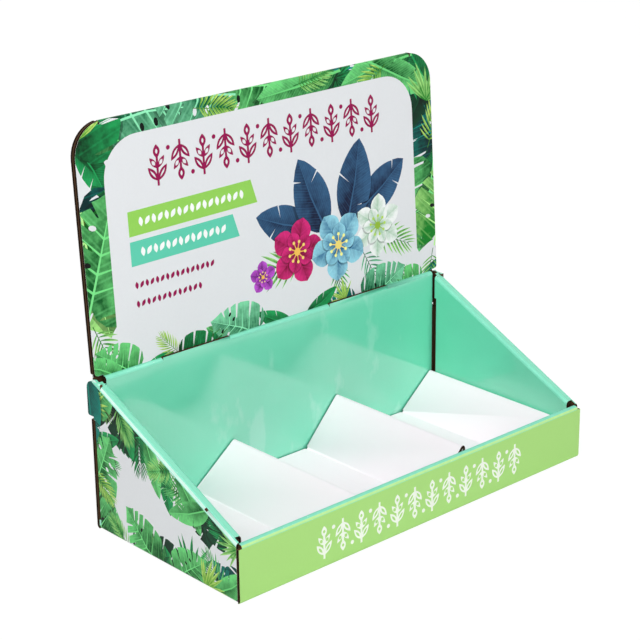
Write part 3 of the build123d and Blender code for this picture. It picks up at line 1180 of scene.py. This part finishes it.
side_layers = (
    (20, 3, 20, 28, "paddle split", "night deep teal"),
    (26, 1, 17, 24, "frond frond fan", "lime fresh deep leaf"),
    (20, 3, 22, 31, "paddle split paddle", "deep leaf sea leaf"),
    (44, 1, 13, 18, "frond fan", "fresh lime"),
)
side_path = [
    (-51, 0, up), (50, 0, leftwards), (50, 74, pi - slope), (-51, 26, rightwards), (-51, 0, up),
]
side_shapes = [ground_field(60, -10, 90, pale)]
side_shapes += leaf_border(side_path, Random(21), side_layers, (20, 74))
side_shapes += leaf_of("paddle", 53, 80, radians(188), 44, "teal", Random(21))
side_folds = fold_lines(under, bend_radius)
side_folds += [((s, inner_foot), (s, tab_notch)) for s in np.linspace(rear_start, rear_end, fold_steps + 1)]
for sign, side_name in ((-1, "left"), (1, "right")):
    name = f"{side_name}_side_print"
    film_mesh(name, side_outline(), side_shapes, side_folds, wrap_side(sign), ink, pale)

# %% [markdown]
# ## The front's print
# The front is one lime field with a white garland. It covers the raw front edges of both
# sides, so its film runs to the tray's full width. It bends under the tray, and at the
# top it stops where the fold starts.

# %% Print the front
def wrap_front(places, depth):
    """From the flat print of the front to its place."""
    inward, z = above_fold(places[:, 1], depth)
    return np.column_stack((places[:, 0], front_face + inward, z))


front_outline = mirrored([
    (crease_half, under - bleed), (crease_half, under), (half_width, under),
    (half_width, front_height - bend_radius),
])
front_shapes = [ground_field(120, -10, 40, lime)]
front_shapes += garland((-67, 12.6), (68, 13.6), 16.0, 12, 1.15, (246, 252, 240), lime)
front_folds = fold_lines(under, bend_radius)
film_mesh("front_print", front_outline, front_shapes, front_folds, wrap_front, ink, lime)

# %% [markdown]
# ## Flutes in the raw edges
# Where a cut runs across the flutes, the wavy paper between the liners shows. Geometry
# Nodes makes it from the middle line of each cut: the line is cut into short steps,
# moved across the board by a sine of its length, drawn inwards as a strip and given the
# thickness of paper. Each line carries two directions as attributes: across the board
# and into it. The sides' flutes run from front to back, the header's run up, and the
# insert's run with its creases, so the sides' tabs, the cuts under the header and the
# insert's two long edges are the cuts that show waves.

# %% Build the tree
def flute_tree(material):
    """A node group that turns cut lines into wavy paper."""
    tree = bpy.data.node_groups.new("flutes", "GeometryNodeTree")
    for name in ("Cut lines", "Pitch", "Swing", "Paper", "Depth", "Flutes"):
        kind = "NodeSocketGeometry" if name in ("Cut lines", "Flutes") else "NodeSocketFloat"
        way = "OUTPUT" if name == "Flutes" else "INPUT"
        tree.interface.new_socket(name, in_out=way, socket_type=kind)
    lines, pitch, swing, paper, depth = (Value(one) for one in tree.nodes.new("NodeGroupInput").outputs[:5])
    across, inward = (
        made(tree, "GeometryNodeInputNamedAttribute", {"Name": name}, data_type="FLOAT_VECTOR")
        for name in ("across", "inward")
    )
    line = made(tree, "GeometryNodeMeshToCurve", {"Mesh": lines})
    fine = made(tree, "GeometryNodeResampleCurve", {"Curve": line, "Length": pitch / 12.0}, mode="LENGTH")
    walked = made(tree, "GeometryNodeSplineParameter", output="Length")
    centred = reckon("SINE", walked * (2 * pi) / pitch) * swing - paper * 0.5
    moved = made(tree, "ShaderNodeVectorMath", {0: across, "Scale": centred}, operation="SCALE")
    wave = made(tree, "GeometryNodeSetPosition", {"Geometry": fine, "Offset": moved})
    edge = made(tree, "GeometryNodeCurveToMesh", {"Curve": wave})

    def drawn(mesh, way, reach, mode, **more):
        """A mesh drawn out along a direction."""
        inputs = {"Mesh": mesh, "Offset": way, "Offset Scale": reach, **more}
        return made(tree, "GeometryNodeExtrudeMesh", inputs, mode=mode)

    strip = drawn(edge, inward, depth, "EDGES")
    lid = drawn(strip, across, paper, "FACES", Individual=False)
    closed = add(tree, "GeometryNodeJoinGeometry")
    for part in (lid, made(tree, "GeometryNodeFlipFaces", {"Mesh": strip})):
        put(closed, 0, part)
    closed = Value(closed.outputs[0])
    merged = made(tree, "GeometryNodeMergeByDistance", {"Geometry": closed, "Distance": 0.002 * mm})
    real = made(tree, "GeometryNodeRealizeInstances", {"Geometry": merged})
    painted = made(tree, "GeometryNodeSetMaterial", {"Geometry": real, "Material": material})
    put(tree.nodes.new("NodeGroupOutput"), "Flutes", painted)
    return tree


def grown_flutes(name, lines, tree):
    """The flutes of many cuts as one plain piece; a cut is (start, end, across, inward) in mm."""
    mesh = bpy.data.meshes.new(name)
    ends = [tuple(v * mm for v in end) for line in lines for end in line[:2]]
    mesh.from_pydata(ends, [(i, i + 1) for i in range(0, len(ends), 2)], [])
    for key, column in (("across", 2), ("inward", 3)):
        values = np.array([line[column] for line in lines for _ in range(2)], np.float32)
        mesh.attributes.new(key, "FLOAT_VECTOR", "POINT").data.foreach_set("vector", values.ravel())
    source = placed(name, mesh)
    modifier = source.modifiers.new("flutes", "NODES")
    modifier.node_group = tree
    sizes = {"Pitch": flute_pitch, "Swing": flute_swing, "Paper": flute_paper, "Depth": groove_depth - 0.1}
    for item in tree.interface.items_tree:
        if item.name in sizes:
            modifier[item.identifier] = sizes[item.name] * mm
    grown = bpy.data.meshes.new_from_object(source.evaluated_get(bpy.context.evaluated_depsgraph_get()))
    source.modifiers.clear()
    source.data = grown
    solid = bmesh.new()
    solid.from_mesh(grown)
    bmesh.ops.recalc_face_normals(solid, faces=solid.faces)
    solid.to_mesh(grown)
    solid.free()
    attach(source, "root")
    print(name, "follows", len(lines), "cuts with", len(grown.polygons), "faces")


# %% Where the cuts run across the flutes
flute_paper, flute_swing = 0.16, 0.36
board, sunk, end_gap = 1.6, 0.08, 0.8
crease_bridge, crease_cut = 64.0, 40.0
crease_cut_y, crease_cut_z = 46.6, 75.3
ramp_front, ramp_back = -41.8, 45.2
tray_cuts, ramp_cuts = [], []
for side in (-1, 1):
    tab_edge = (side * (half_width - board / 2), tab_end - sunk)
    tray_cuts.append(((*tab_edge, tab_low + 1.5), (*tab_edge, tab_top - 4), (1, 0, 0), (0, -1, 0)))
    cut_ends = (crease_bridge / 2 + end_gap, crease_bridge / 2 + crease_cut - end_gap)
    near, far = ((side * x, crease_cut_y, crease_cut_z - sunk) for x in cut_ends)
    tray_cuts.append((near, far, (0, 1, 0), (0, 0, -1)))
section = [
    (-104.2, 2.4), (-56.9, 2.4), (-31.2, 22.2), (-28.4, 2.4), (14.6, 2.4), (36.5, 26.25), (39.9, 2.4),
    (81.6, 2.4), (103.6, 20.8), (103.6, 1.6),
]
for (x0, z0), (x1, z1) in zip(section, section[1:]):
    run = float(np.hypot(x1 - x0, z1 - z0))
    along_x, along_z = (x1 - x0) / run, (z1 - z0) / run
    for y, inward in ((ramp_front + sunk, 1), (ramp_back - sunk, -1)):
        start = (x0 + along_x * board, y, z0 + along_z * board)
        stop = (x1 - along_x * board, y, z1 - along_z * board)
        ramp_cuts.append((start, stop, (-along_z, 0, along_x), (0, inward, 0)))
wavy_paper = flute_tree(kraft)
grown_flutes("tray_flutes", tray_cuts, wavy_paper)
grown_flutes("ramp_flutes", ramp_cuts, wavy_paper)

# %% [markdown]
# ## Floor, light and background
# The display stands on a pale floor in soft even light. Large lamps stand in front, to
# the left and above, and a fourth behind lights the back for a viewer who walks round.
# The floor and the world are white to the camera, by Light Path, and not by more light,
# so that the object keeps its own colours and a faint shadow.

# %% Stage
white = (1, 1, 1, 1)


def bright_to_the_eye(outlet, plain, bright, share=1.0):
    """Show a bright surface to the camera, mirrors and clear things, and gather light from a plain one."""
    tree = plain.tree
    rays = add(tree, "ShaderNodeLightPath").outputs
    direct, glossy, clear = (Value(rays[f"Is {way} Ray"]) for way in ("Camera", "Glossy", "Transmission"))
    seen = reckon("MAXIMUM", reckon("MAXIMUM", direct, glossy), clear) * share
    put(outlet, "Surface", made(tree, "ShaderNodeMixShader", {0: seen, 1: plain, 2: bright}))


def stage_floor():
    """A wide pale floor just under the display."""
    bpy.ops.mesh.primitive_plane_add(size=12, location=(0, 0, -0.1 * mm))
    floor = bpy.context.object
    floor.name = "floor"
    material, place = finish_of("pale_floor", 0.9, specular=0.0)
    nodes = material.node_tree.nodes
    put(nodes["Principled BSDF"], "Base Color", (0.86, 0.86, 0.86, 1))
    glow = made(place.tree, "ShaderNodeEmission", {"Color": white, "Strength": 1.05})
    bright_to_the_eye(nodes["Material Output"], Value(nodes["Principled BSDF"].outputs[0]), glow, 0.9)
    floor.data.materials.append(material)


def sky(strength):
    """An even white world: full white to the camera and in gloss, softer as light."""
    world = bpy.data.worlds.new("studio")
    bpy.context.scene.world = world
    world.use_nodes = True
    tree = world.node_tree
    light, seen = (
        made(tree, "ShaderNodeBackground", {"Color": white, "Strength": power}) for power in (strength, 1.0)
    )
    bright_to_the_eye(tree.nodes["World Output"], light, seen)


def lamp(name, place, aim, size, power):
    """A square soft lamp at a place, turned to its aim; its size is in metres, its power in watts."""
    data = bpy.data.lights.new(name, "AREA")
    data.shape, data.size, data.energy = "SQUARE", size, power
    light = placed(name, data)
    light.location = place
    light.rotation_euler = (Vector(aim) - Vector(place)).to_track_quat("-Z", "Y").to_euler()


stage_floor()
sky(0.25)
lamp("front_lamp", (-0.3, -1.5, 1.2), (0, 0, 0.08), 1.2, 10.5)
lamp("left_lamp", (-1.0, -0.75, 1.45), (0, 0, 0.05), 1.2, 21)
lamp("top_lamp", (-0.5, -0.2, 1.8), (0, 0, 0.05), 1.4, 2)
lamp("back_lamp", (0.5, 1.6, 0.55), (0, 0, 0.08), 1.2, 11)
bpy.context.scene.view_settings.view_transform = "Standard"
